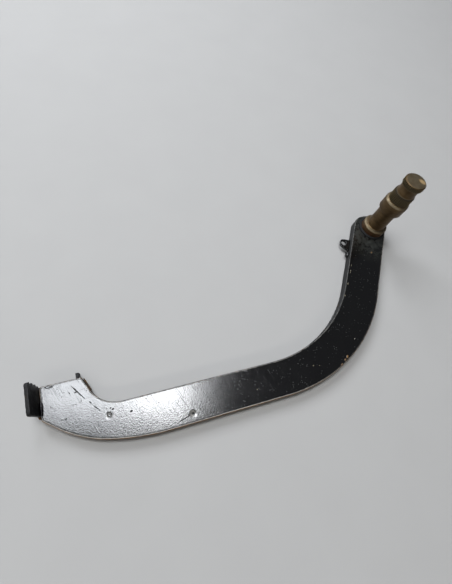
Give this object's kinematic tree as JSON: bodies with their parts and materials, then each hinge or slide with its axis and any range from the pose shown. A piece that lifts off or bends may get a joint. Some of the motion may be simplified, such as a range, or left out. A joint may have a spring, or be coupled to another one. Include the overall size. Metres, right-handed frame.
{
  "type": "motorcycle foot lever",
  "caption": "Foot-operated gear shift lever: bent plate arm with a welded cross shaft carrying serrated bands, a return-spring eye and a serrated tread.",
  "frame": {"origin": "on the pivot shaft's axis, at the shaft's back end, which is level with the back of the plate arm", "axes": "+Z along the pivot shaft away from the arm, +X along the arm's long straight stretch from the tread towards the shaft, +Y towards the inside of the bend"},
  "size_m": [0.2955, 0.131, 0.0684],
  "materials": {
    "arm_paint": "gloss black paint over steel plate, scratched, with rust at the edges",
    "shaft_steel": "turned steel gone brown with age, bright where it has rubbed",
    "painted_weld": "weld bead under thin black paint",
    "rusty_weld": "bare weld bead, rusty and rough"
  },
  "bodies": {
    "root": {"lever_arm": "arm_paint", "pivot_shaft": "shaft_steel", "shaft_front_weld": "painted_weld", "shaft_back_weld": "painted_weld", "spring_hook": "arm_paint", "spring_hook_weld": "painted_weld", "tread_plate": "arm_paint", "tread_weld_front": "painted_weld", "tread_weld_lower": "rusty_weld", "heel_tab": "arm_paint", "heel_weld": "rusty_weld"}
  },
  "joints": []
}
